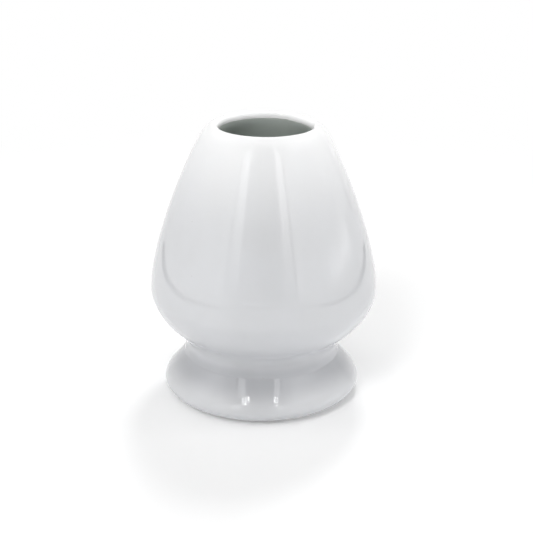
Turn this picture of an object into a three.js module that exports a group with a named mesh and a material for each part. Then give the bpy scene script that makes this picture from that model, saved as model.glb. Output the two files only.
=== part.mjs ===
// A tea whisk holder in glazed porcelain: a hollow bulb luted to a flared foot, with the
// glaze coats that cover them. Every body is turned round one upright axis.
// Millimetres, +Z up. The origin is the centre of the circle that the holder stands on.

import * as THREE from 'three';

// Driving sizes of the outside, as it is once glazed: heights from the table, radii from the axis
const overallHeight = 80;
const mouthRadius = 13.2;
const bellyHeight = 32.1;
const bellyRadius = 32.7;
const waistHeight = 15.2;
const waistRadius = 22.5;
const footRadius = 28.55;

// The lip: from the edge of the mouth up to the crest, and on to the corner over the flank
const lipDrop = 1.75;
const lipRoll = 1.6;
const shoulderWidth = 1.7;

// How far above and below the belly and the waist the straight lines of the outline meet them
const bellyRise = 16.5;
const bellyFall = 5.8;
const waistRise = 2.4;
const waistFall = 2.7;

// The flare of the foot: from a crease under the waist it runs out to the nose, and its middle is
// dished by flareSag
const flareSag = 0.3;

// The nose of the foot: where it is widest, and how far above and below the lines of the flare
// and of the bevel meet it
const noseHeight = 3.75;
const noseRise = 1.45;
const noseFall = 1.17;

// The foot's underside: the bevel comes in over bevelWidth, and the glaze ends seatWidth further in
const bevelWidth = 3.4;
const seatWidth = 1.1;
const glazeEdgeHeight = 0.4;

// Walls and coats
const glazeThickness = 0.4;
const coatClearance = 0.1;
const bulbWall = 3.1;
const bulbFloor = 4.2;
const throatDepth = 0.9;
const slipThickness = 0.6;

// The bare clay rim that the holder stands on, and the well inside the foot
const standingRimWidth = 3.6;
const wellSideHeight = 6.5;
const footNeckWall = 5.3;
const wellNeckDepth = 2.5;
const wellCeilingRound = 1.5;

// Where the curves start and end on the straight lines between two corners
const flankStartShare = 0.12;
const undersideShares = [0.56, 0.7];
const creaseShare = 0.08;
const flareMiddleShare = 0.5;
const dishShares = [0.4, 0.6];
const bevelShares = [0.45, 0.6];
const wellNeckShare = 0.5;
const wellSlopeShares = [0.3, 0.7];

// How far a curve's handles reach towards its corner
const lipFullnessShare = 0.66;
const bellyFullnessShare = 0.56;
const creaseFullnessShare = 0.65;
const cornerFullnessShare = 0.55;

// How finely the curves and the circle are cut into flats
const circleSegments = 40;
const lipSteps = 4;
const shoulderSteps = 3;
const upperBellySteps = 6;
const lowerBellySteps = 4;
const creaseSteps = 3;
const smallCurveSteps = 2;
const floorSteps = 3;

// A coat with the clearance under it
const coat = glazeThickness + coatClearance;

// A point of a half section
const at = (radius, height) => new THREE.Vector2(radius, height);

// The point that lies a share of the way from one point to another
const between = (from, to, share) => from.clone().lerp(to, share);

// A curve that leaves its start towards a corner and comes to its end from that corner
function rounded(start, corner, end, fullnessShare) {
  const leaving = between(start, corner, fullnessShare);
  const arriving = between(end, corner, fullnessShare);
  return new THREE.CubicBezierCurve(start, leaving, arriving, end);
}

// The direction in which a curve runs: the blend of its three handles, made one long
function direction(curve, along) {
  const back = 1 - along;
  const first = curve.v1.clone().sub(curve.v0).multiplyScalar(back * back);
  const middle = curve.v2.clone().sub(curve.v1).multiplyScalar(2 * back * along);
  const last = curve.v3.clone().sub(curve.v2).multiplyScalar(along * along);
  return first.add(middle).add(last).normalize();
}

// Stations on a surface: a point, and the unit normal to the left of the way the surface runs.
// Each curve is given with its steps, and starts where the one before it ended or further on.
function stationsOn(...curvesAndSteps) {
  const stations = [];
  for (const [curve, steps] of curvesAndSteps) {
    const last = stations.at(-1);
    const meets = last !== undefined && last.point.equals(curve.v0);
    for (let step = meets ? 1 : 0; step <= steps; step += 1) {
      const way = direction(curve, step / steps);
      stations.push({ point: curve.getPoint(step / steps), normal: at(-way.y, way.x) });
    }
  }
  return stations;
}

// The same stations moved along their normals
function shifted(stations, distance) {
  return stations.map(({ point, normal }) => (
    { point: point.clone().addScaledVector(normal, distance), normal }
  ));
}

const pointsOf = (stations) => stations.map((station) => station.point);

// The skin between a surface and the same surface shifted along its normals
function skinOf(stations, distance) {
  return [...pointsOf(stations), ...pointsOf(shifted(stations, distance)).reverse()];
}

// A body turned from a half section, which starts and ends on the axis or else closes on itself
function turned(name, halfSection, material) {
  const runsUpTheOutside = THREE.ShapeUtils.area(halfSection) > 0;
  const profile = runsUpTheOutside ? [...halfSection] : [...halfSection].reverse();
  if (profile[0].x > 0) profile.push(profile[0].clone());
  const geometry = new THREE.LatheGeometry(profile, circleSegments);
  geometry.rotateX(Math.PI / 2);
  const mesh = new THREE.Mesh(geometry, material);
  mesh.name = name;
  return mesh;
}

// The finished outside, from the edge of the mouth down to the waist
const mouthEdge = at(mouthRadius, overallHeight - lipDrop);
const lipCorner = at(mouthRadius, overallHeight);
const crest = at(mouthRadius + lipRoll, overallHeight);
const shoulderCorner = at(crest.x + shoulderWidth, overallHeight);
const upperBellyCorner = at(bellyRadius, bellyHeight + bellyRise);
const belly = at(bellyRadius, bellyHeight);
const lowerBellyCorner = at(bellyRadius, bellyHeight - bellyFall);
const upperWaistCorner = at(waistRadius, waistHeight + waistRise);
const bulbSeatHeight = waistHeight + slipThickness / 2;
const footSeatHeight = waistHeight - slipThickness / 2;

const flankStart = between(shoulderCorner, upperBellyCorner, flankStartShare);
const [undersideStart, undersideEnd] = undersideShares.map(
  (share) => between(lowerBellyCorner, upperWaistCorner, share),
);

const lip = rounded(mouthEdge, lipCorner, crest, lipFullnessShare);
const shoulder = rounded(crest, shoulderCorner, flankStart, cornerFullnessShare);
const upperBelly = rounded(flankStart, upperBellyCorner, belly, bellyFullnessShare);
const lowerBelly = rounded(belly, lowerBellyCorner, undersideStart, bellyFullnessShare);
const upperWaist = rounded(
  undersideEnd, upperWaistCorner, at(waistRadius, bulbSeatHeight), cornerFullnessShare);

const bulbOutside = stationsOn(
  [lip, lipSteps],
  [shoulder, shoulderSteps],
  [upperBelly, upperBellySteps],
  [lowerBelly, lowerBellySteps],
  [upperWaist, smallCurveSteps],
);

// The finished outside of the foot, from the waist round the nose to the edge of the glaze
const creaseCorner = at(waistRadius, waistHeight - waistFall);
const noseCorner = at(footRadius, noseHeight + noseRise);
const nose = at(footRadius, noseHeight);
const bevelCorner = at(footRadius, noseHeight - noseFall);
const seatCorner = at(footRadius - bevelWidth, glazeEdgeHeight);
const glazeEdge = at(seatCorner.x - seatWidth, glazeEdgeHeight);

const flareWay = noseCorner.clone().sub(creaseCorner).normalize();
const flareMiddle = between(creaseCorner, noseCorner, flareMiddleShare)
  .addScaledVector(at(flareWay.y, -flareWay.x), flareSag);
const creaseEnd = between(creaseCorner, flareMiddle, creaseShare);
const dishStart = between(creaseCorner, flareMiddle, dishShares[0]);
const dishEnd = between(flareMiddle, noseCorner, dishShares[1]);
const [bevelStart, bevelEnd] = bevelShares.map(
  (share) => between(bevelCorner, seatCorner, share),
);

const footOutside = stationsOn(
  [rounded(at(waistRadius, footSeatHeight), creaseCorner, creaseEnd, creaseFullnessShare),
    creaseSteps],
  [rounded(dishStart, flareMiddle, dishEnd, cornerFullnessShare), smallCurveSteps],
  [rounded(dishEnd, noseCorner, nose, cornerFullnessShare), smallCurveSteps],
  [rounded(nose, bevelCorner, bevelStart, cornerFullnessShare), smallCurveSteps],
  [rounded(bevelEnd, seatCorner, glazeEdge, cornerFullnessShare), smallCurveSteps],
);

// The finished inside of the bulb: as slip-cast ware has one even wall, it follows the outside
const finishedWall = bulbWall + 2 * coat;
const finishedFloorHeight = bulbSeatHeight + bulbFloor + coat;
const innerBelly = shifted(
  stationsOn([upperBelly, upperBellySteps], [lowerBelly, lowerBellySteps]),
  -finishedWall,
);
const linerEdge = at(mouthRadius, mouthEdge.y - coatClearance);
const throatCorner = at(mouthRadius, mouthEdge.y - throatDepth);
const throat = rounded(linerEdge, throatCorner, innerBelly[0].point, cornerFullnessShare);

// The underside's inner face runs on to the floor's height, and the floor's curve is as long
// on the floor as it is on that face
const innerUnderside = innerBelly.at(-1).point;
const undersideWay = direction(lowerBelly, 1);
const toFloor = (finishedFloorHeight - innerUnderside.y) / undersideWay.y;
const floorCorner = innerUnderside.clone().addScaledVector(undersideWay, toFloor);
const floorEdge = at(floorCorner.x - toFloor, finishedFloorHeight);
const floorCurve = rounded(innerUnderside, floorCorner, floorEdge, cornerFullnessShare);
const floorCentre = { point: at(0, finishedFloorHeight), normal: at(0, -1) };

const cavity = [
  ...stationsOn([throat, smallCurveSteps]).slice(0, -1),
  ...innerBelly,
  ...stationsOn([floorCurve, floorSteps]).slice(1),
  floorCentre,
];

// The finished inside of the foot, from the middle of its ceiling down to the standing rim
const rimOuterRadius = glazeEdge.x - coatClearance;
const rimInnerRadius = rimOuterRadius - standingRimWidth;
const wellRadius = rimInnerRadius - coat;
const wellNeckRadius = waistRadius - coat - footNeckWall - coat;
const ceilingHeight = bulbSeatHeight - coat;
const ceilingCorner = at(wellNeckRadius, ceilingHeight);
const neckCorner = at(wellNeckRadius, ceilingHeight - wellNeckDepth);
const sideCorner = at(wellRadius, wellSideHeight);
const ceilingEdge = at(wellNeckRadius - wellCeilingRound, ceilingHeight);
const neckMiddle = between(ceilingCorner, neckCorner, wellNeckShare);
const [slopeStart, slopeEnd] = wellSlopeShares.map(
  (share) => between(neckCorner, sideCorner, share),
);
const wellEdge = at(wellRadius, glazeEdgeHeight);

const wellWall = stationsOn(
  [rounded(neckMiddle, neckCorner, slopeStart, cornerFullnessShare), smallCurveSteps],
  [rounded(slopeEnd, sideCorner, wellEdge, cornerFullnessShare), smallCurveSteps],
);
const well = [
  { point: at(0, ceilingHeight), normal: at(0, 1) },
  ...stationsOn(
    [rounded(ceilingEdge, ceilingCorner, neckMiddle, cornerFullnessShare), smallCurveSteps],
  ).slice(0, -1),
  ...wellWall,
];

// Finishes
const bisque = new THREE.MeshStandardMaterial({ color: 0xe6e0d4, roughness: 0.8, metalness: 0 });
const slip = new THREE.MeshStandardMaterial({ color: 0xdcd6ca, roughness: 0.85, metalness: 0 });
const whiteGlaze = new THREE.MeshStandardMaterial({ color: 0xeef0f2, roughness: 0.08, metalness: 0 });
const wellGlaze = new THREE.MeshStandardMaterial({ color: 0xe4e7e8, roughness: 0.15, metalness: 0 });
const greenGlaze = new THREE.MeshStandardMaterial({ color: 0x7f8a82, roughness: 0.2, metalness: 0 });

// The bulb: flat underneath, where it is luted to the foot
const bulb = turned('bulb', [
  at(0, bulbSeatHeight),
  ...pointsOf(shifted(bulbOutside, -coat)).reverse(),
  ...pointsOf(shifted(cavity, coat)),
], bisque);

// The foot: its bare standing rim steps down from under the bevel, with both edges taken off
const neckClayRadius = wellNeckRadius + coat;
const pedestalFoot = turned('pedestal_foot', [
  ...pointsOf(shifted(footOutside, -coat)),
  at(rimOuterRadius, glazeEdgeHeight + coat),
  at(rimOuterRadius, glazeEdgeHeight),
  at(rimOuterRadius - glazeEdgeHeight, 0),
  at(rimInnerRadius + glazeEdgeHeight, 0),
  ...pointsOf(shifted(wellWall, coat)).reverse(),
  at(neckClayRadius, footSeatHeight),
], bisque);

// The ring of slip between the bulb's flat underside and the foot's flat top
const slipJoint = turned('slip_joint', [
  at(neckClayRadius, footSeatHeight),
  at(waistRadius - coat, footSeatHeight),
  at(waistRadius - coat, bulbSeatHeight),
  at(neckClayRadius, bulbSeatHeight),
], slip);

// The glaze coats
const outerGlaze = turned(
  'outer_glaze', skinOf([...bulbOutside, ...footOutside], -glazeThickness), whiteGlaze);
const linerGlaze = turned('liner_glaze', skinOf(cavity, glazeThickness), greenGlaze);
const footWellGlaze = turned('foot_well_glaze', skinOf(well, glazeThickness), wellGlaze);

const holder = new THREE.Group();
holder.add(bulb, pedestalFoot, slipJoint, outerGlaze, linerGlaze, footWellGlaze);

export default holder;
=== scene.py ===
# %% [markdown]
# The object is a porcelain stand that keeps a bamboo tea whisk in shape: a hollow bulb with a round
# mouth, on a flared hollow foot, in a glossy white glaze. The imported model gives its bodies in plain
# facets, at their real size and place. This lesson loads it as a fixed frame, and then gives each body
# a fine surface and a finish.

import bpy
import numpy as np
from mathutils import Matrix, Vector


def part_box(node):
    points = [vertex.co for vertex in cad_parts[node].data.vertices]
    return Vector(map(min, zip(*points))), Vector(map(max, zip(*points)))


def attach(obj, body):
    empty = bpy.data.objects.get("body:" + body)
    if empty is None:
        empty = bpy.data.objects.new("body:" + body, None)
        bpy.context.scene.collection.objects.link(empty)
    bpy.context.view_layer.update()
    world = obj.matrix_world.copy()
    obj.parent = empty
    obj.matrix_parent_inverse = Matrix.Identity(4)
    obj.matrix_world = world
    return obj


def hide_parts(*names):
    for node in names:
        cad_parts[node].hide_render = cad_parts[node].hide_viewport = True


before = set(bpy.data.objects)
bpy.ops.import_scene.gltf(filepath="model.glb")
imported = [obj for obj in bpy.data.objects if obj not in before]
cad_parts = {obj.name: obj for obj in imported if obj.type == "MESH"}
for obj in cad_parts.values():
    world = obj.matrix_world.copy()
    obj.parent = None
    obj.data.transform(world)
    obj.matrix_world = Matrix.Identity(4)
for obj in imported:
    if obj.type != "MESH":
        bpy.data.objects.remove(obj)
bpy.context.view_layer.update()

# %% [markdown]
# A turned pot is described by one half section, a line of radius and height. Most of its sizes are a
# potter's measures, so they are written in millimetres here. The tallest and widest sizes, and the seats
# where the clay bodies meet, are read from the frame, so that the fine surfaces land on the plain ones.

# %% Sizes of the holder
MM = 0.001
glaze_low, glaze_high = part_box("outer_glaze")
overall_height = glaze_high.z
belly_radius = glaze_high.x
glaze_edge_height = glaze_low.z
bulb_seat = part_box("bulb")[0].z
foot_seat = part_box("pedestal_foot")[1].z
waist_height = (bulb_seat + foot_seat) / 2

mouth_radius = 13.2 * MM
lip_drop = 1.75 * MM
lip_roll = 1.6 * MM
shoulder_width = 1.7 * MM
belly_height = 32.1 * MM
belly_rise = 16.5 * MM
belly_fall = 5.8 * MM
waist_radius = 22.5 * MM
waist_rise = 2.4 * MM
waist_fall = 2.7 * MM
flare_sag = 0.3 * MM
foot_radius = 28.55 * MM
nose_height = 3.75 * MM
nose_rise = 1.45 * MM
nose_fall = 1.17 * MM
bevel_width = 3.4 * MM
seat_width = 1.1 * MM
print("height", round(overall_height / MM, 2), "mm, belly", round(2 * belly_radius / MM, 2), "mm across")

# %% [markdown]
# The inside is as real as the outside, because it shows through the mouth and from below. The glaze is a
# thin coat, the slip-cast wall is even, and the foot is hollow with a bare clay ring to stand on.

# %% Sizes of the walls and coats
glaze_thickness = 0.4 * MM
coat_clearance = 0.1 * MM
coat = glaze_thickness + coat_clearance
bulb_wall = 3.1 * MM
bulb_floor = 4.2 * MM
throat_depth = 0.9 * MM
standing_rim_width = 3.6 * MM
well_side_height = 6.5 * MM
foot_neck_wall = 5.3 * MM
well_neck_depth = 2.5 * MM
well_ceiling_round = 1.5 * MM
finished_wall = bulb_wall + 2 * coat
print("wall of clay and two coats", round(finished_wall / MM, 2), "mm")

# %% [markdown]
# A profile could be drawn point by point, but a potter thinks of straight flanks that are rounded where
# they meet. So the outline is a chain of corners, and each corner is one cubic curve whose handles reach
# a share of the way to the corner. The curve's own slope gives an exact normal at each station, which
# is what a coat or a wall of even thickness needs.

# %% Curves of a half section
def point(radius, height):
    """One point of the half section: radius and height in metres."""
    return np.array([radius, height])


def between(start, end, share):
    """The point that lies that share of the way from start to end."""
    return start + share * (end - start)


def stations(places, ways):
    """Rows of radius, height and outward normal, which is the way along the line turned a quarter left."""
    ways = ways / np.linalg.norm(ways, axis=1)[:, None]
    return np.column_stack([places, -ways[:, 1], ways[:, 0]])


def rounded(start, corner, end, share, steps):
    """A cubic curve from start to end: (1-t)^3 start + 3(1-t)^2 t A + 3(1-t) t^2 B + t^3 end,
    with its handles A and B that share of the way from each end to the corner."""
    t = np.linspace(0.0, 1.0, steps + 1)[:, None]
    first, second = between(start, corner, share), between(end, corner, share)
    places = (1 - t) ** 3 * start + 3 * (1 - t) ** 2 * t * first + 3 * (1 - t) * t**2 * second + t**3 * end
    ways = (1 - t) ** 2 * (first - start) + 2 * (1 - t) * t * (second - first) + t**2 * (end - second)
    return stations(places, ways)


def straight(start, end, steps):
    """A straight run from start to end in equal steps, with one normal all along."""
    t = np.linspace(0.0, 1.0, steps + 1)[:, None]
    return stations(start + t * (end - start), np.tile(end - start, (steps + 1, 1)))


def chained(*runs):
    """Runs one after the other, without the first station of each later run, which repeats the last."""
    return np.vstack([runs[0], *[run[1:] for run in runs[1:]]])


def shifted(run, distance):
    """The points at that distance from the run, outwards along its normals."""
    return run[:, :2] + distance * run[:, 2:]


# %% [markdown]
# The outside runs from the edge of the mouth, over the lip and the shoulder, down the long flank to the
# belly, in to the waist, out again over the flared foot and its nose, and under to the edge of the glaze.
# The corners repeat the plain model's, so the fine outline is the same line with more stations on it.
# The shares named for rounding say how far a corner's handles reach towards it.

# %% The outside of the holder
mouth_edge = point(mouth_radius, overall_height - lip_drop)
lip_corner = point(mouth_radius, overall_height)
crest = point(mouth_radius + lip_roll, overall_height)
shoulder_corner = point(crest[0] + shoulder_width, overall_height)
upper_belly_corner = point(belly_radius, belly_height + belly_rise)
belly = point(belly_radius, belly_height)
lower_belly_corner = point(belly_radius, belly_height - belly_fall)
upper_waist_corner = point(waist_radius, waist_height + waist_rise)
crease_corner = point(waist_radius, waist_height - waist_fall)
nose_corner = point(foot_radius, nose_height + nose_rise)
nose = point(foot_radius, nose_height)
bevel_corner = point(foot_radius, nose_height - nose_fall)
seat_corner = point(foot_radius - bevel_width, glaze_edge_height)
glaze_edge = point(seat_corner[0] - seat_width, glaze_edge_height)

lip_round, flank_round, crease_round, usual_round = 0.66, 0.56, 0.65, 0.55
flank_start = between(shoulder_corner, upper_belly_corner, 0.12)
underside_start = between(lower_belly_corner, upper_waist_corner, 0.56)
underside_end = between(lower_belly_corner, upper_waist_corner, 0.7)
flare_way = (nose_corner - crease_corner) / np.linalg.norm(nose_corner - crease_corner)
flare_middle = between(crease_corner, nose_corner, 0.5) + flare_sag * point(flare_way[1], -flare_way[0])
crease_end = between(crease_corner, flare_middle, 0.08)
dish_start = between(crease_corner, flare_middle, 0.4)
dish_end = between(flare_middle, nose_corner, 0.6)
bevel_start = between(bevel_corner, seat_corner, 0.45)
bevel_end = between(bevel_corner, seat_corner, 0.6)
bulb_waist = point(waist_radius, bulb_seat)
foot_waist = point(waist_radius, foot_seat)

bulb_outside = chained(
    rounded(mouth_edge, lip_corner, crest, lip_round, 12),
    rounded(crest, shoulder_corner, flank_start, usual_round, 16),
    rounded(flank_start, upper_belly_corner, belly, flank_round, 40),
    rounded(belly, lower_belly_corner, underside_start, flank_round, 22),
    straight(underside_start, underside_end, 6),
    rounded(underside_end, upper_waist_corner, bulb_waist, usual_round, 12),
)
foot_outside = chained(
    rounded(foot_waist, crease_corner, crease_end, crease_round, 24),
    straight(crease_end, dish_start, 5),
    rounded(dish_start, flare_middle, dish_end, usual_round, 12),
    rounded(dish_end, nose_corner, nose, usual_round, 14),
    rounded(nose, bevel_corner, bevel_start, usual_round, 10),
    straight(bevel_start, bevel_end, 3),
    rounded(bevel_end, seat_corner, glaze_edge, usual_round, 6),
)
outside = chained(bulb_outside, straight(bulb_waist, foot_waist, 2), foot_outside)
print("outside line:", len(outside), "stations")

# %% [markdown]
# The cavity follows the outside at one wall's distance, as slip casting leaves it, and ends in a flat
# floor. The well under the foot narrows to a neck below that floor. Both are finished surfaces, so the
# coats on them lie between these lines and the clay.

# %% The cavity and the well
def cavity_line():
    """The finished inside of the bulb, from the throat to the middle of the floor: the belly's stations
    shifted in by one wall, then straight on to the floor's height, with a curve as long on both legs."""
    edge = point(mouth_radius, mouth_edge[1] - coat_clearance)
    throat_corner = point(mouth_radius, mouth_edge[1] - throat_depth)
    wall = chained(
        rounded(flank_start, upper_belly_corner, belly, flank_round, 40),
        rounded(belly, lower_belly_corner, underside_start, flank_round, 20),
    )
    wall[:, :2] = shifted(wall, -finished_wall)
    floor_height = bulb_seat + bulb_floor + coat
    foot_of_wall, way = wall[-1, :2], point(wall[-1, 3], -wall[-1, 2])
    to_floor = (floor_height - foot_of_wall[1]) / way[1]
    floor_corner = foot_of_wall + to_floor * way
    floor_edge = floor_corner - point(to_floor, 0.0)
    return chained(
        rounded(edge, throat_corner, wall[0, :2], usual_round, 10),
        wall,
        rounded(foot_of_wall, floor_corner, floor_edge, usual_round, 12),
        straight(floor_edge, point(0.0, floor_height), 6),
    )


ceiling_height = bulb_seat - coat
rim_outer_radius = glaze_edge[0] - coat_clearance
rim_inner_radius = rim_outer_radius - standing_rim_width
well_radius = rim_inner_radius - coat
well_neck_radius = waist_radius - foot_neck_wall - 2 * coat


def well_lines():
    """The finished hollow of the foot: its ceiling, out to half-way down the neck, and its wall on."""
    ceiling_corner = point(well_neck_radius, ceiling_height)
    neck_corner = point(well_neck_radius, ceiling_height - well_neck_depth)
    side_corner = point(well_radius, well_side_height)
    ceiling_edge = point(well_neck_radius - well_ceiling_round, ceiling_height)
    neck_middle = between(ceiling_corner, neck_corner, 0.5)
    slope_start, slope_end = between(neck_corner, side_corner, 0.3), between(neck_corner, side_corner, 0.7)
    ceiling = chained(
        straight(point(0.0, ceiling_height), ceiling_edge, 6),
        rounded(ceiling_edge, ceiling_corner, neck_middle, usual_round, 8),
    )
    wall = chained(
        rounded(neck_middle, neck_corner, slope_start, usual_round, 8),
        straight(slope_start, slope_end, 4),
        rounded(slope_end, side_corner, point(well_radius, glaze_edge_height), usual_round, 12),
    )
    return ceiling, wall


cavity = cavity_line()
well_ceiling, well_wall = well_lines()
well = chained(well_ceiling, well_wall)
print("cavity floor at", round(cavity[-1, 1] / MM, 2), "mm, well ceiling at", round(well[0, 1] / MM, 2), "mm")

# %% [markdown]
# No hand-finished pot is a perfect turned form. This one's foot sits a little to the left of the bulb,
# its mouth is cut a little to the right, and a stretch of the mouth's edge, far on the right, was trimmed
# nearly straight. The surface function takes two parameters, the place along the line and the angle
# round the axis, and adds those small departures to an exact turned surface.

# %% The turned surface with its hand-made departures
foot_offset = -0.65 * MM
mouth_offset = 0.45 * MM
trim_depth = 0.9 * MM
trim_middle = np.radians(32)
trim_half_width = np.radians(30)
wall_waver = 0.05 * MM
waver_lobes, waver_twist = 3, 40


def eased(value, start, end):
    """Goes smoothly from 0 at start to 1 at end: t * t * (3 - 2 t), with t the clipped share of the way."""
    t = np.clip((value - start) / (end - start), 0.0, 1.0)
    return t * t * (3 - 2 * t)


def placed(radius, height, angle):
    """x = (r - waver - trim) cos a + offsets, y = (r - waver - trim) sin a, z = height.
    The waver is a slow three-lobed swing, and the offsets and the trim fade out away from foot and mouth."""
    near_mouth = eased(radius, crest[0] + shoulder_width, mouth_radius) * eased(
        height, overall_height - 10 * lip_drop, overall_height - lip_drop
    )
    near_foot = eased(height, waist_height + 3 * waist_fall, waist_height - waist_fall)
    trim = trim_depth * (1 - ((angle - trim_middle) / trim_half_width) ** 2)
    trim = np.where(np.abs(angle - trim_middle) < trim_half_width, trim, 0.0)
    lobes = np.sin(waver_lobes * angle + waver_twist * height)
    swing = 1 + lobes * eased(height, glaze_edge_height, belly_height)
    turned = radius - near_mouth * trim - wall_waver * swing / 2 * radius / belly_radius
    x = turned * np.cos(angle) + mouth_offset * near_mouth + foot_offset * near_foot
    return np.stack([x, turned * np.sin(angle), height + 0 * angle], axis=-1)


# %% [markdown]
# The grid of points becomes a mesh of four-sided faces. A line that starts and ends on the axis gets one
# point at each pole and a fan of triangles round it, and a line that closes on itself makes a ring
# without poles. Run so that its area is positive, either line has air on its right, so that faces made
# across it and then along it point outwards.

# %% Mesh of a turned body
segments = 240
sharp_angle = np.radians(40)


def facing_out(line):
    """The line, turned round if the area inside it, the sum of r1 z2 - r2 z1 over its sides, is negative."""
    ahead = np.roll(line, -1, axis=0)
    return line if np.sum(line[:, 0] * ahead[:, 1] - ahead[:, 0] * line[:, 1]) > 0 else line[::-1]


def turned_body(name, line):
    """A closed body from points of radius and height. Row u of the grid is one point of the line, turned
    through every angle; the two ends of a line that starts and ends on the axis become poles."""
    line = facing_out(line)
    has_poles = line[0, 0] < coat_clearance and line[-1, 0] < coat_clearance
    rings = line[1:-1] if has_poles else line
    angles = np.linspace(-np.pi, np.pi, segments, endpoint=False)
    vertices = placed(rings[:, :1], rings[:, 1:], angles[None, :]).reshape(-1, 3)
    row = np.arange(len(rings) - has_poles)[:, None] * segments
    next_row = (row + segments) % (len(rings) * segments)
    column = np.arange(segments)[None, :]
    next_column = (column + 1) % segments
    corners = [row + column, row + next_column, next_row + next_column, next_row + column]
    faces = np.stack(corners, axis=-1).reshape(-1, 4).tolist()
    if has_poles:
        first, last = len(vertices), len(vertices) + 1
        last_row = first - segments
        around, beyond = column[0], next_column[0]
        faces += np.stack([np.full(segments, first), beyond, around], axis=-1).tolist()
        faces += np.stack([np.full(segments, last), last_row + around, last_row + beyond], axis=-1).tolist()
        vertices = np.vstack([vertices, placed(0.0, line[[0, -1], 1], 0.0)])
    mesh = bpy.data.meshes.new(name)
    mesh.from_pydata(vertices.tolist(), [], faces)
    mesh.polygons.foreach_set("use_smooth", np.ones(len(mesh.polygons), bool))
    mesh.set_sharp_from_angle(angle=sharp_angle)
    mesh.update()
    body = bpy.data.objects.new(name, mesh)
    bpy.context.scene.collection.objects.link(body)
    return body


# %% [markdown]
# Each body of the frame is replaced by its fine surface. A coat is the finished line on one side and the
# same line shifted by the glaze's thickness on the other. The clay lies under the coats, with the small
# clearance that the frame keeps there, and only its standing rim shows.

# %% Half sections of the six bodies
def skin(run, distance):
    """A closed half section: along the run, and back at that distance along its normals. Where the run
    ends on the axis, the section is rolled so that it starts and ends there."""
    loop = np.vstack([run[:, :2], shifted(run, distance)[::-1]])
    return np.roll(loop, -len(run), axis=0) if run[-1, 0] < coat_clearance else loop


neck_clay_radius = well_neck_radius + coat
bulb_section = np.vstack([point(0.0, bulb_seat), shifted(bulb_outside, -coat)[::-1], shifted(cavity, coat)])
foot_section = np.vstack([
    shifted(foot_outside, -coat),
    point(rim_outer_radius, glaze_edge_height + coat),
    point(rim_outer_radius, glaze_edge_height),
    point(rim_outer_radius - glaze_edge_height, 0.0),
    point(rim_inner_radius + glaze_edge_height, 0.0),
    shifted(well_wall, coat)[::-1],
    point(neck_clay_radius, foot_seat),
])
slip_section = np.array([
    [neck_clay_radius, foot_seat],
    [waist_radius - coat, foot_seat],
    [waist_radius - coat, bulb_seat],
    [neck_clay_radius, bulb_seat],
])
sections = {
    "bulb": bulb_section,
    "pedestal_foot": foot_section,
    "slip_joint": slip_section,
    "outer_glaze": skin(outside, -glaze_thickness),
    "liner_glaze": skin(cavity, glaze_thickness),
    "foot_well_glaze": skin(well, glaze_thickness),
}
print({node: len(section) for node, section in sections.items()})

# %% [markdown]
# A material is a tree of nodes, and most of its steps are small sums, masks and mixes. Each of these
# helpers makes one such node, links what goes into it and gives back the socket that comes out, so that a
# chain of them reads like a formula.

# %% Helpers for node trees
def node(tree, kind, **settings):
    """A new node of that kind with its properties set."""
    made = tree.nodes.new(kind)
    for key, value in settings.items():
        setattr(made, key, value)
    return made


def sockets(tree, inputs, outputs):
    """Names a group's sockets: each input has a kind and a usual value, each output a kind."""
    for name, (kind, usual) in inputs.items():
        socket = tree.interface.new_socket(name, in_out="INPUT", socket_type=kind)
        socket.default_value = usual
    for name, kind in outputs.items():
        tree.interface.new_socket(name, in_out="OUTPUT", socket_type=kind)


def scalar(tree, operation, first, second=0.0, third=0.0, clamp=False):
    """The result of one Math node; each value is a number or a socket."""
    made = node(tree, "ShaderNodeMath", operation=operation, use_clamp=clamp)
    for socket, value in zip(made.inputs, (first, second, third)):
        if isinstance(value, bpy.types.NodeSocket):
            tree.links.new(value, socket)
        else:
            socket.default_value = value
    return made.outputs[0]


def mixed(tree, factor, first, second):
    """A colour mixed from the first to the second; each is a colour or a socket."""
    made = node(tree, "ShaderNodeMix", data_type="RGBA")
    for socket, value in zip((made.inputs[0], made.inputs[6], made.inputs[7]), (factor, first, second)):
        if isinstance(value, bpy.types.NodeSocket):
            tree.links.new(value, socket)
        else:
            socket.default_value = value
    return made.outputs[2]


def ramped(tree, value, start, end):
    """A mask that goes smoothly from 0 where the value is at start to 1 where it is at end."""
    made = node(tree, "ShaderNodeMapRange", interpolation_type="SMOOTHSTEP")
    tree.links.new(value, made.inputs[0])
    made.inputs[1].default_value, made.inputs[2].default_value = start, end
    return made.outputs[0]


def noise(tree, place, scale, detail=2.0):
    """Noise from 0 to 1 on that place, with so many waves to the metre."""
    made = node(tree, "ShaderNodeTexNoise")
    tree.links.new(place, made.inputs["Vector"])
    made.inputs["Scale"].default_value = scale
    made.inputs["Detail"].default_value = detail
    return made.outputs["Fac"]


COLOUR, VALUE = "NodeSocketColor", "NodeSocketFloat"
print("node helpers ready")

# %% [markdown]
# A fired white glaze isn't one colour, and here its colour also carries painted light. It is painted
# whitest on the lip and lighter near the top, as if lit from above, greyer down the belly, and darkest in
# the crease of the foot, as painted shade. It clouds a little, it is dotted with pinholes, and a slow
# waviness bends its reflections. These effects serve every coat, so they are one node group, and each
# material sets its own colours and strengths. A scale here is a number of waves to the metre.

# %% Node group for a fired glaze
full_body_height = 1.4 * belly_height
lip_end_radius, lip_full_radius = mouth_radius + 2.2 * MM, mouth_radius + 1.0 * MM
crease_start, crease_full, flare_full = 1.2 * waist_height, 0.85 * waist_height, 0.7 * waist_height
cloud_scale, cloud_start, cloud_full = 45.0, 0.35, 0.7
pinhole_scale, pinhole_radius, rare_above, pinhole_depth = 260.0, 0.045, 0.93, 30e-6
wave_scale, wave_height = 60.0, 45e-6
peel_scale, peel_height = 420.0, 1.5e-6
slow_roughness, pinhole_roughness = 0.03, 0.3


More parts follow.
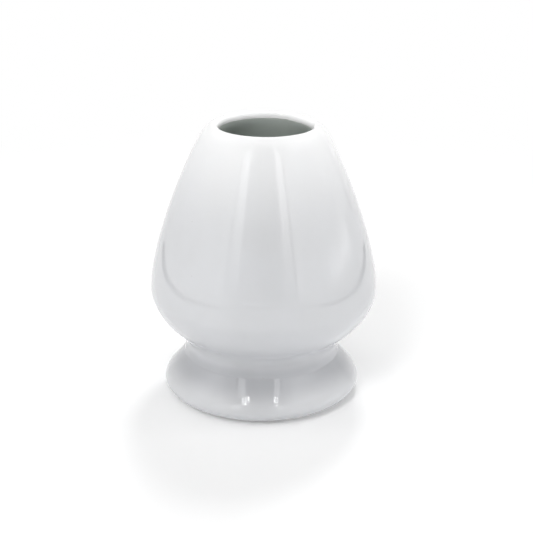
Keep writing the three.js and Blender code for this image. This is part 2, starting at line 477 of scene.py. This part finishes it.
def glaze_surface():
    """Colour = painted lip light by the mouth, painted top light near the top, body below, painted
    crease shade in the crease, clouded towards its cool tone, with pinholes; roughness rises with the slow
    noise that the clouds come from; height = slow waviness + orange peel - pinholes, in metres."""
    tree = bpy.data.node_groups.new("fired_glaze", "ShaderNodeTree")
    sockets(tree, {
        "Painted_lip_light": (COLOUR, (0.9, 0.9, 0.9, 1.0)),
        "Painted_top_light": (COLOUR, (0.9, 0.9, 0.9, 1.0)),
        "Body": (COLOUR, (0.8, 0.8, 0.8, 1.0)),
        "Painted_crease_shade": (COLOUR, (0.6, 0.62, 0.65, 1.0)),
        "Cool": (COLOUR, (0.75, 0.77, 0.8, 1.0)),
        "Speck": (COLOUR, (0.35, 0.32, 0.27, 1.0)),
        "Cloud": (VALUE, 0.5),
        "Crease_shade_strength": (VALUE, 1.0),
        "Specks": (VALUE, 0.5),
        "Smooth": (VALUE, 0.07),
        "Wave": (VALUE, 1.0),
    }, {"Color": COLOUR, "Roughness": VALUE, "Height": VALUE})
    given = node(tree, "NodeGroupInput")
    result = node(tree, "NodeGroupOutput")
    place = node(tree, "ShaderNodeTexCoord").outputs["Object"]
    slow = noise(tree, place, cloud_scale, 3.0)
    cloud = scalar(tree, "MULTIPLY", ramped(tree, slow, cloud_start, cloud_full), given.outputs["Cloud"])
    cells = node(tree, "ShaderNodeTexVoronoi", feature="F1")
    tree.links.new(place, cells.inputs["Vector"])
    cells.inputs["Scale"].default_value = pinhole_scale
    dot = scalar(tree, "LESS_THAN", cells.outputs["Distance"], pinhole_radius)
    chosen = node(tree, "ShaderNodeSeparateColor")
    tree.links.new(cells.outputs["Color"], chosen.inputs[0])
    rare = scalar(tree, "GREATER_THAN", chosen.outputs[0], rare_above)
    pinhole = scalar(tree, "MULTIPLY", scalar(tree, "MULTIPLY", dot, rare), given.outputs["Specks"])
    along_axis = node(tree, "ShaderNodeSeparateXYZ")
    tree.links.new(place, along_axis.inputs[0])
    above = along_axis.outputs["Z"]
    # Painted light: the colour is lighter towards the top, as if lit from above, and whitest on the lip.
    high = ramped(tree, above, full_body_height, overall_height)
    painted_light_colour = mixed(tree, scalar(tree, "MULTIPLY", high, high), given.outputs["Body"], given.outputs["Painted_top_light"])
    flat_place = node(tree, "ShaderNodeVectorMath", operation="MULTIPLY")
    tree.links.new(place, flat_place.inputs[0])
    flat_place.inputs[1].default_value = (1.0, 1.0, 0.0)
    off_axis = node(tree, "ShaderNodeVectorMath", operation="LENGTH")
    tree.links.new(flat_place.outputs[0], off_axis.inputs[0])
    on_lip = ramped(tree, off_axis.outputs["Value"], lip_end_radius, lip_full_radius)
    painted_light_colour = mixed(tree, on_lip, painted_light_colour, given.outputs["Painted_lip_light"])
    # Painted shade: the colour darkens in the crease of the foot, between the belly and the flare.
    into_crease = ramped(tree, above, crease_start, crease_full)
    off_nose = ramped(tree, above, nose_height + nose_rise, flare_full)
    crease_shade = scalar(tree, "MULTIPLY", scalar(tree, "MULTIPLY", into_crease, off_nose), given.outputs["Crease_shade_strength"])
    crease_shaded = mixed(tree, crease_shade, painted_light_colour, given.outputs["Painted_crease_shade"])
    clouded = mixed(tree, cloud, crease_shaded, given.outputs["Cool"])
    colour = mixed(tree, pinhole, clouded, given.outputs["Speck"])
    rough = scalar(tree, "MULTIPLY_ADD", slow, slow_roughness, given.outputs["Smooth"])
    rough = scalar(tree, "MULTIPLY_ADD", pinhole, pinhole_roughness, rough)
    wave = scalar(tree, "MULTIPLY", noise(tree, place, wave_scale, 1.0), wave_height)
    peel = scalar(tree, "MULTIPLY", noise(tree, place, peel_scale, 1.0), peel_height)
    height = scalar(tree, "MULTIPLY", scalar(tree, "ADD", wave, peel), given.outputs["Wave"])
    height = scalar(tree, "MULTIPLY_ADD", pinhole, -pinhole_depth, height)
    for name, socket in (("Color", colour), ("Roughness", rough), ("Height", height)):
        tree.links.new(socket, result.inputs[name])
    return tree


fired_glaze = glaze_surface()
print("glaze group outputs:", [s.name for s in fired_glaze.interface.items_tree if s.in_out == "OUTPUT"])

# %% [markdown]
# Bare porcelain is a dry, slightly warm white with a fine grain, iron specks, and a grey bloom where the
# ring has slid over trays. The slip that lutes the foot on is the same clay, a little darker. So one
# group makes both.

# %% Node group for bare clay
mottle_scale, mottle_start, mottle_full = 300.0, 0.35, 0.75
scuff_scale, scuff_start, scuff_full = 700.0, 0.45, 0.62
iron_scale, iron_above, iron_strength = 1500.0, 0.78, 0.5
grain_scale, grain_height = 2600.0, 12e-6
wear_height, dry_roughness, wear_smoothing = 0.45 * MM, 0.82, 0.2


def clay_surface():
    """Colour = clay, mottled towards its shade and dotted with specks, then greyed where it wears near
    the plane it stands on; height = fine grain in metres."""
    tree = bpy.data.node_groups.new("bare_clay", "ShaderNodeTree")
    sockets(tree, {
        "Clay": (COLOUR, (0.8, 0.77, 0.71, 1.0)),
        "Shade": (COLOUR, (0.68, 0.63, 0.55, 1.0)),
        "Worn": (COLOUR, (0.45, 0.43, 0.4, 1.0)),
        "Wear": (VALUE, 0.5),
    }, {"Color": COLOUR, "Roughness": VALUE, "Height": VALUE})
    given = node(tree, "NodeGroupInput")
    result = node(tree, "NodeGroupOutput")
    place = node(tree, "ShaderNodeTexCoord").outputs["Object"]
    height_above = node(tree, "ShaderNodeSeparateXYZ")
    tree.links.new(place, height_above.inputs[0])
    mottle = ramped(tree, noise(tree, place, mottle_scale, 5.0), mottle_start, mottle_full)
    grain = noise(tree, place, grain_scale, 3.0)
    low = ramped(tree, height_above.outputs["Z"], wear_height, 0.0)
    scuffed = ramped(tree, noise(tree, place, scuff_scale, 4.0), scuff_start, scuff_full)
    wear = scalar(tree, "MULTIPLY", scalar(tree, "MULTIPLY", low, scuffed), given.outputs["Wear"])
    mottled = mixed(tree, mottle, given.outputs["Clay"], given.outputs["Shade"])
    iron = scalar(tree, "GREATER_THAN", noise(tree, place, iron_scale, 0.0), iron_above)
    dotted = mixed(tree, scalar(tree, "MULTIPLY", iron, iron_strength), mottled, given.outputs["Worn"])
    colour = mixed(tree, wear, dotted, given.outputs["Worn"])
    rough = scalar(tree, "MULTIPLY_ADD", wear, -wear_smoothing, dry_roughness)
    height = scalar(tree, "MULTIPLY", grain, grain_height)
    for name, socket in (("Color", colour), ("Roughness", rough), ("Height", height)):
        tree.links.new(socket, result.inputs[name])
    return tree


bare_clay = clay_surface()
print("clay group outputs:", [s.name for s in bare_clay.interface.items_tree if s.in_out == "OUTPUT"])

# %% [markdown]
# A material is a Principled shader fed by one of these groups. What is even all over, such as the
# refractive index, stays on the shader's own socket.

# %% A material from a group
def finish(name, group, values, viewport):
    """A material whose Principled shader takes colour, roughness and bump from the group."""
    material = bpy.data.materials.new(name)
    material.use_nodes = True
    material.diffuse_color = (*viewport, 1.0)
    tree = material.node_tree
    tree.nodes.clear()
    shader = node(tree, "ShaderNodeBsdfPrincipled")
    output = node(tree, "ShaderNodeOutputMaterial")
    tree.links.new(shader.outputs[0], output.inputs[0])
    effect = node(tree, "ShaderNodeGroup", node_tree=group)
    for key, value in values.items():
        effect.inputs[key].default_value = (*value, 1.0) if isinstance(value, tuple) else value
    bump = node(tree, "ShaderNodeBump")
    bump.inputs["Distance"].default_value = 1.0
    tree.links.new(effect.outputs["Height"], bump.inputs["Height"])
    tree.links.new(bump.outputs[0], shader.inputs["Normal"])
    tree.links.new(effect.outputs["Color"], shader.inputs["Base Color"])
    tree.links.new(effect.outputs["Roughness"], shader.inputs["Roughness"])
    return material


# In each coat, the lip and top colours are painted light, and the crease colour is painted shade.
white_glaze = finish("fine_white_glaze", fired_glaze, {
    "Painted_lip_light": (0.97, 0.97, 0.965), "Painted_top_light": (0.84, 0.84, 0.838), "Body": (0.605, 0.61, 0.62),
    "Painted_crease_shade": (0.43, 0.435, 0.452), "Cool": (0.74, 0.75, 0.78), "Cloud": 0.15, "Crease_shade_strength": 1.0,
    "Specks": 0.35, "Smooth": 0.025, "Wave": 1.0,
}, (0.8, 0.8, 0.81))
well_glaze = finish("fine_well_glaze", fired_glaze, {
    "Painted_lip_light": (0.78, 0.79, 0.79), "Painted_top_light": (0.78, 0.79, 0.79), "Body": (0.76, 0.77, 0.775),
    "Painted_crease_shade": (0.68, 0.69, 0.72), "Cool": (0.70, 0.72, 0.75), "Cloud": 0.8, "Crease_shade_strength": 0.5,
    "Specks": 0.8, "Smooth": 0.12, "Wave": 2.0,
}, (0.76, 0.77, 0.775))
liner_glaze = finish("fine_liner_glaze", fired_glaze, {
    "Painted_lip_light": (0.66, 0.70, 0.665), "Painted_top_light": (0.66, 0.70, 0.665), "Body": (0.64, 0.685, 0.65),
    "Painted_crease_shade": (0.62, 0.67, 0.635), "Cool": (0.62, 0.67, 0.635), "Speck": (0.16, 0.17, 0.15),
    "Cloud": 0.5, "Crease_shade_strength": 1.0, "Specks": 0.5, "Smooth": 0.3, "Wave": 1.0,
}, (0.58, 0.63, 0.59))
bisque = finish("fine_bisque", bare_clay, {
    "Clay": (0.80, 0.77, 0.71), "Shade": (0.72, 0.68, 0.60), "Wear": 0.6,
}, (0.8, 0.77, 0.71))
slip = finish("fine_slip", bare_clay, {
    "Clay": (0.76, 0.73, 0.67), "Shade": (0.66, 0.62, 0.55), "Wear": 0.0,
}, (0.76, 0.73, 0.67))
print("materials:", [m.name for m in (white_glaze, well_glaze, liner_glaze, bisque, slip)])

# %% [markdown]
# Now each section is turned, given its material, and tied to the frame: it rides on the one body, it
# stands for its plain node, and it names the record's slot that its finish belongs to.

# %% Turn and dress the six bodies
dressing = {
    "bulb": ("bisque", bisque),
    "pedestal_foot": ("bisque", bisque),
    "slip_joint": ("slip", slip),
    "outer_glaze": ("white_glaze", white_glaze),
    "liner_glaze": ("liner_glaze", liner_glaze),
    "foot_well_glaze": ("well_glaze", well_glaze),
}
for cad_node, section in sections.items():
    slot, material = dressing[cad_node]
    piece = turned_body("fine_" + cad_node, section)
    piece.data.materials.append(material)
    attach(piece, "root")
    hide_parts(cad_node)
    print(piece.name, len(piece.data.polygons), "faces")

# %% [markdown]
# The camera stands where the photographer stood: a little above the holder, about a third of a metre
# away. The distance, the height of the eye and the lens were worked out from the outline in the
# photograph. The aim is a hair off the middle of the holder, because the photograph isn't centred on it.
# The elevation and the roll are in radians.

# %% Camera
view_distance = 355.68 * MM
view_elevation = 0.3583
view_roll = 0.0029
view_lens = 83.10
aim_height = overall_height / 2
aim_right = 0.740 * MM
aim_down = 2.295 * MM

right = np.array([1.0, 0.0, 0.0])
back = np.array([0.0, -np.cos(view_elevation), np.sin(view_elevation)])
up = np.cross(back, right)
middle = np.array([0.0, 0.0, aim_height])
eye = middle + view_distance * back
aim = middle + aim_right * right - aim_down * up
axis_z = (eye - aim) / np.linalg.norm(eye - aim)
axis_x = np.cross(up, axis_z)
axis_x /= np.linalg.norm(axis_x)
axis_y = np.cross(axis_z, axis_x)
rolled_x = np.cos(view_roll) * axis_x + np.sin(view_roll) * axis_y
rolled_y = np.cos(view_roll) * axis_y - np.sin(view_roll) * axis_x

camera_data = bpy.data.cameras.new("camera")
camera = bpy.data.objects.new("camera", camera_data)
bpy.context.scene.collection.objects.link(camera)
camera_data.lens = view_lens
camera_data.clip_start = 10 * MM
placing = np.eye(4)
placing[:3, 0], placing[:3, 1], placing[:3, 2], placing[:3, 3] = rolled_x, rolled_y, axis_z, eye
camera.matrix_world = Matrix(placing.tolist())
bpy.context.scene.camera = camera
print("camera at", [round(v / MM, 1) for v in eye], "mm")

# %% [markdown]
# The floor is a wide white sheet. Near the holder it is mostly lit like anything else, so it keeps the
# soft shadows. Further out it is plain white to the camera and in reflections, as an even white sheet
# would be. So its material mixes a lit sheet and an even one, by the distance from the holder.

# %% Floor sheet
floor_reach = 4.0
lit_radius, even_radius = 0.16, 0.30
plain_share = 0.25
sheet_colour, bounce_colour = (0.955, 0.955, 0.955, 1.0), (0.94, 0.95, 0.97, 1.0)
floor_mesh = bpy.data.meshes.new("floor")
floor_corners = [(-1, -1, 0), (1, -1, 0), (1, 1, 0), (-1, 1, 0)]
floor_mesh.from_pydata([tuple(floor_reach * v for v in c) for c in floor_corners], [], [(0, 1, 2, 3)])
floor = bpy.data.objects.new("floor", floor_mesh)
bpy.context.scene.collection.objects.link(floor)

floor_material = bpy.data.materials.new("floor_sheet")
floor_material.use_nodes = True
floor_mesh.materials.append(floor_material)
tree = floor_material.node_tree
tree.nodes.clear()
floor_output = node(tree, "ShaderNodeOutputMaterial")
lit_sheet = node(tree, "ShaderNodeBsdfDiffuse")
even_sheet = node(tree, "ShaderNodeEmission")
either = node(tree, "ShaderNodeMixShader")
ray = node(tree, "ShaderNodeLightPath")
floor_place = node(tree, "ShaderNodeTexCoord").outputs["Object"]
floor_distance = node(tree, "ShaderNodeVectorMath", operation="LENGTH")
tree.links.new(floor_place, floor_distance.inputs[0])
far = ramped(tree, floor_distance.outputs["Value"], lit_radius, even_radius)
looked_at = scalar(tree, "ADD", ray.outputs["Is Camera Ray"], ray.outputs["Is Glossy Ray"])
looked_at = scalar(tree, "ADD", looked_at, ray.outputs["Is Transmission Ray"], clamp=True)
plain = scalar(tree, "MULTIPLY_ADD", far, 1.0 - plain_share, plain_share)
plain = scalar(tree, "MULTIPLY", plain, looked_at)
tree.links.new(lit_sheet.outputs[0], either.inputs[1])
tree.links.new(even_sheet.outputs[0], either.inputs[2])
tree.links.new(either.outputs[0], floor_output.inputs[0])
tree.links.new(mixed(tree, looked_at, bounce_colour, sheet_colour), lit_sheet.inputs["Color"])
print("floor", 2 * floor_reach, "m across, lit out to", lit_radius, "m")

# %% [markdown]
# In reflections only, a dark edge runs along the sheet's two sides and across its front. A glossy pot
# shows it as a thin dark line that curves from its flanks round its belly. The edge is a mask on the
# floor's own coordinates, across and towards the camera.

# %% Dark edges of the sheet
edge_front, edge_side, edge_back = (0.50, 0.72), (0.215, 0.29), -0.22
edge_light = 0.0
floor_side = node(tree, "ShaderNodeSeparateXYZ")
tree.links.new(floor_place, floor_side.inputs[0])
across = scalar(tree, "ABSOLUTE", floor_side.outputs["X"])
forward = scalar(tree, "MULTIPLY", floor_side.outputs["Y"], -1.0)


def within(value, limits):
    """A mask that is 1 where the value lies between two limits."""
    past_first = scalar(tree, "GREATER_THAN", value, limits[0])
    return scalar(tree, "MULTIPLY", past_first, scalar(tree, "LESS_THAN", value, limits[1]))


side_edge = scalar(tree, "MULTIPLY", within(across, edge_side), within(forward, (edge_back, edge_front[1])))
between_sides = scalar(tree, "LESS_THAN", across, edge_side[1])
front_edge = scalar(tree, "MULTIPLY", within(forward, edge_front), between_sides)
edge = scalar(tree, "ADD", side_edge, front_edge, clamp=True)
edge = scalar(tree, "MULTIPLY", edge, ray.outputs["Is Glossy Ray"])
tree.links.new(scalar(tree, "MAXIMUM", plain, edge), either.inputs[0])
sheet_light = scalar(tree, "MULTIPLY_ADD", edge, edge_light - 1.0, 1.0)
tree.links.new(sheet_light, even_sheet.inputs["Strength"])
print("dark edges start", edge_side[0], "m out at the sides and", edge_front[0], "m out in front")

# %% [markdown]
# The pot is glossy, so it shows what stands round it: a light tent. Each wall of the tent is a part of an
# upright cylinder, place = (R sin a, -R cos a, z), where a = 0 is towards the camera. Only reflections
# see it, so it lights nothing and throws no shadow, and its light may fade from one edge to another.

# %% A wall of the tent
tent_radius = 1.2
wall_steps = 24


def tent_wall(name, azimuths, heights, light, end_light=None, along="Z", reach=None, nearer=0.0):
    """A glowing part of the tent between two azimuths and two heights. Its light changes evenly from the
    first height to the height reach, or from the first azimuth to the second where it goes along X."""
    end_light = light if end_light is None else end_light
    angles = np.radians(np.linspace(*azimuths, wall_steps + 1))
    x, y = (tent_radius - nearer) * np.sin(angles), (nearer - tent_radius) * np.cos(angles)
    first = np.column_stack([x, y, np.full_like(x, heights[0])])
    second = np.column_stack([x, y, np.full_like(x, heights[1])])
    vertices = np.stack([first, second], axis=1).reshape(-1, 3)
    row = 2 * np.arange(wall_steps)
    faces = np.stack([row, row + 2, row + 3, row + 1], axis=-1)
    mesh = bpy.data.meshes.new(name)
    mesh.from_pydata(vertices.tolist(), [], faces.tolist())
    wall = bpy.data.objects.new(name, mesh)
    bpy.context.scene.collection.objects.link(wall)
    material = bpy.data.materials.new(name)
    material.use_nodes = True
    wall_tree = material.node_tree
    wall_tree.nodes.clear()
    wall_output = node(wall_tree, "ShaderNodeOutputMaterial")
    glow = node(wall_tree, "ShaderNodeEmission")
    wall_place = node(wall_tree, "ShaderNodeSeparateXYZ")
    wall_tree.links.new(node(wall_tree, "ShaderNodeTexCoord").outputs["Object"], wall_place.inputs[0])
    fade = node(wall_tree, "ShaderNodeMapRange")
    wall_tree.links.new(wall_place.outputs[along], fade.inputs[0])
    span = (heights[0], reach or heights[1]) if along == "Z" else (x[0], x[-1])
    for socket, value in zip(fade.inputs[1:5], (*span, light, end_light)):
        socket.default_value = value
    wall_tree.links.new(fade.outputs[0], glow.inputs["Strength"])
    wall_tree.links.new(glow.outputs[0], wall_output.inputs[0])
    mesh.materials.append(material)
    wall.visible_camera = False
    wall.visible_diffuse = False
    wall.visible_shadow = False


print("tent radius", tent_radius, "m")

# %% [markdown]
# At the front the tent has an opening for the camera, which is darker, and a bright strip down each side
# of it, brighter towards the top. A thin dark seam and a second, softer strip follow on each side. Over
# them hangs a dark housing. A soft glow lies low on the right, and a seam runs up the back.

# %% Walls of the tent
opening_light, strip_light, second_light, room_glow = 0.3, 2.7, 1.6, 1.0
seam_light, back_seam_light, glow_light = 0.1, 0.2, 2.6
strip_foot, full_light_height, strip_top, housing_top = 0.02, 0.74, 1.49, 1.92
strip_heights, housing_heights = (strip_foot, strip_top), (strip_top, housing_top)
left_turns, right_turns = (-25.0, -37.5, -40.5, -56.0), (20.0, 30.5, 33.5, 47.0)
housing_turns, back_seam_turns, glow_turns = (-44.0, 40.0), (128.5, 131.5), (72.0, 108.0)
back_seam_top, glow_middle, glow_top = 0.50, 0.08, 0.24
tent_wall("opening", (left_turns[0], right_turns[0]), strip_heights, opening_light)
for side, turns in (("left", left_turns), ("right", right_turns)):
    tent_wall("strip_" + side, turns[0:2], strip_heights, opening_light, strip_light, reach=full_light_height)
    tent_wall("seam_" + side, turns[1:3], strip_heights, seam_light)
    tent_wall("second_strip_" + side, turns[2:4], strip_heights, second_light, room_glow, "X")
tent_wall("housing", housing_turns, housing_heights, opening_light)
tent_wall("seam_back", back_seam_turns, (0.0, back_seam_top), back_seam_light)
tent_wall("glow_low", glow_turns, (0.0, glow_middle), room_glow, glow_light)
tent_wall("glow_high", glow_turns, (glow_middle, glow_top), glow_light, room_glow)
print("strips brightest from", full_light_height, "m up, under the housing at", strip_top, "m")

# %% [markdown]
# A small lattice of lamps hangs in front of the housing on each side, three rows high. The flare of the
# foot shows them as two small groups of bright dots.

# %% Lattices of lamps
lattice_light, lattice_depth = 22.0, 0.02
lattice_columns = {"left": (-29.5, -25.0, -20.5), "right": (21.0, 25.0)}
lattice_rows, cell_half_width, cell_height = (1.50, 1.58, 1.66), 1.3, 0.045
for side, columns in lattice_columns.items():
    for column in columns:
        for row in lattice_rows:
            cell_turns = (column - cell_half_width, column + cell_half_width)
            name = "lattice_%s_%d_%d" % (side, abs(column), 1000 * row)
            tent_wall(name, cell_turns, (row, row + cell_height), lattice_light, nearer=lattice_depth)

# %% [markdown]
# The light is a plain soft studio. Its room lights the holder dimly and evenly, but the camera and
# reflections see it white, as a lit tent is. Reflections see the roof of the room brighter still, because
# the glaze mirrors the tent's bright top on every surface that leans back.

# %% World
room_light = 0.27
roof_light, roof_start, roof_full = 1.9, np.radians(26), np.radians(40)
world = bpy.data.worlds.new("studio")
bpy.context.scene.world = world
world.use_nodes = True
tree = world.node_tree
tree.nodes.clear()
world_output = node(tree, "ShaderNodeOutputWorld")
background = node(tree, "ShaderNodeBackground")
tree.links.new(background.outputs[0], world_output.inputs[0])
world_ray = node(tree, "ShaderNodeLightPath")
seen = scalar(tree, "ADD", world_ray.outputs["Is Camera Ray"], world_ray.outputs["Is Glossy Ray"])
seen = scalar(tree, "ADD", seen, world_ray.outputs["Is Transmission Ray"], clamp=True)
background.inputs["Color"].default_value = (1.0, 1.0, 1.0, 1.0)
room_strength = scalar(tree, "MULTIPLY_ADD", seen, 1.0 - room_light, room_light)
world_way = node(tree, "ShaderNodeSeparateXYZ")
tree.links.new(node(tree, "ShaderNodeTexCoord").outputs["Generated"], world_way.inputs[0])
roof = ramped(tree, world_way.outputs["Z"], np.sin(roof_start), np.sin(roof_full))
roof = scalar(tree, "MULTIPLY", roof, roof_light - 1.0)
roof = scalar(tree, "MULTIPLY", roof, world_ray.outputs["Is Glossy Ray"])
tree.links.new(scalar(tree, "ADD", room_strength, roof), background.inputs["Strength"])
print("room light", room_light, "on the holder, roof", roof_light, "in reflections")

# %% [markdown]
# Six soft boxes add the shape and the shadows, and none of them shows in the glaze. The key box stands in
# front on the left, and its faint shadow falls to the right and back. The back box throws the second one
# to the front. A wide box hangs overhead, two low ones light the flanks, and a weak one in front lights
# the underside of the belly.

# %% Soft boxes
box_distance = 1.5


def soft_box(name, azimuth, elevation, size, power):
    """A square lamp that faces the holder. Azimuth 0 is towards the camera and 90 to the right."""
    lamp = bpy.data.lights.new(name, "AREA")
    lamp.shape = "SQUARE"
    lamp.size, lamp.energy = size, power
    made = bpy.data.objects.new(name, lamp)
    bpy.context.scene.collection.objects.link(made)
    turn, tilt = np.radians(azimuth), np.radians(elevation)
    way = np.array([np.sin(turn) * np.cos(tilt), -np.cos(turn) * np.cos(tilt), np.sin(tilt)])
    side = np.array([np.cos(turn), np.sin(turn), 0.0])
    placing = np.eye(4)
    placing[:3, 0], placing[:3, 1], placing[:3, 2] = side, np.cross(way, side), way
    placing[:3, 3] = middle + box_distance * way
    made.matrix_world = Matrix(placing.tolist())
    made.visible_camera = False
    made.visible_glossy = False


soft_box("overhead_box", -20.0, 74.0, 1.2, 7.8)
soft_box("key_box", -25.0, 42.0, 0.4, 7.6)
soft_box("left_box", -95.0, 8.0, 0.5, 3.3)
soft_box("right_box", 95.0, 7.0, 0.5, 9.0)
soft_box("back_box", 168.0, 54.0, 0.3, 8.0)
soft_box("low_box", -5.0, 6.0, 0.5, 1.6)

# %% [markdown]
# The picture is taken as it is, without a film look.

# %% Colour
bpy.context.scene.view_settings.view_transform = "Standard"
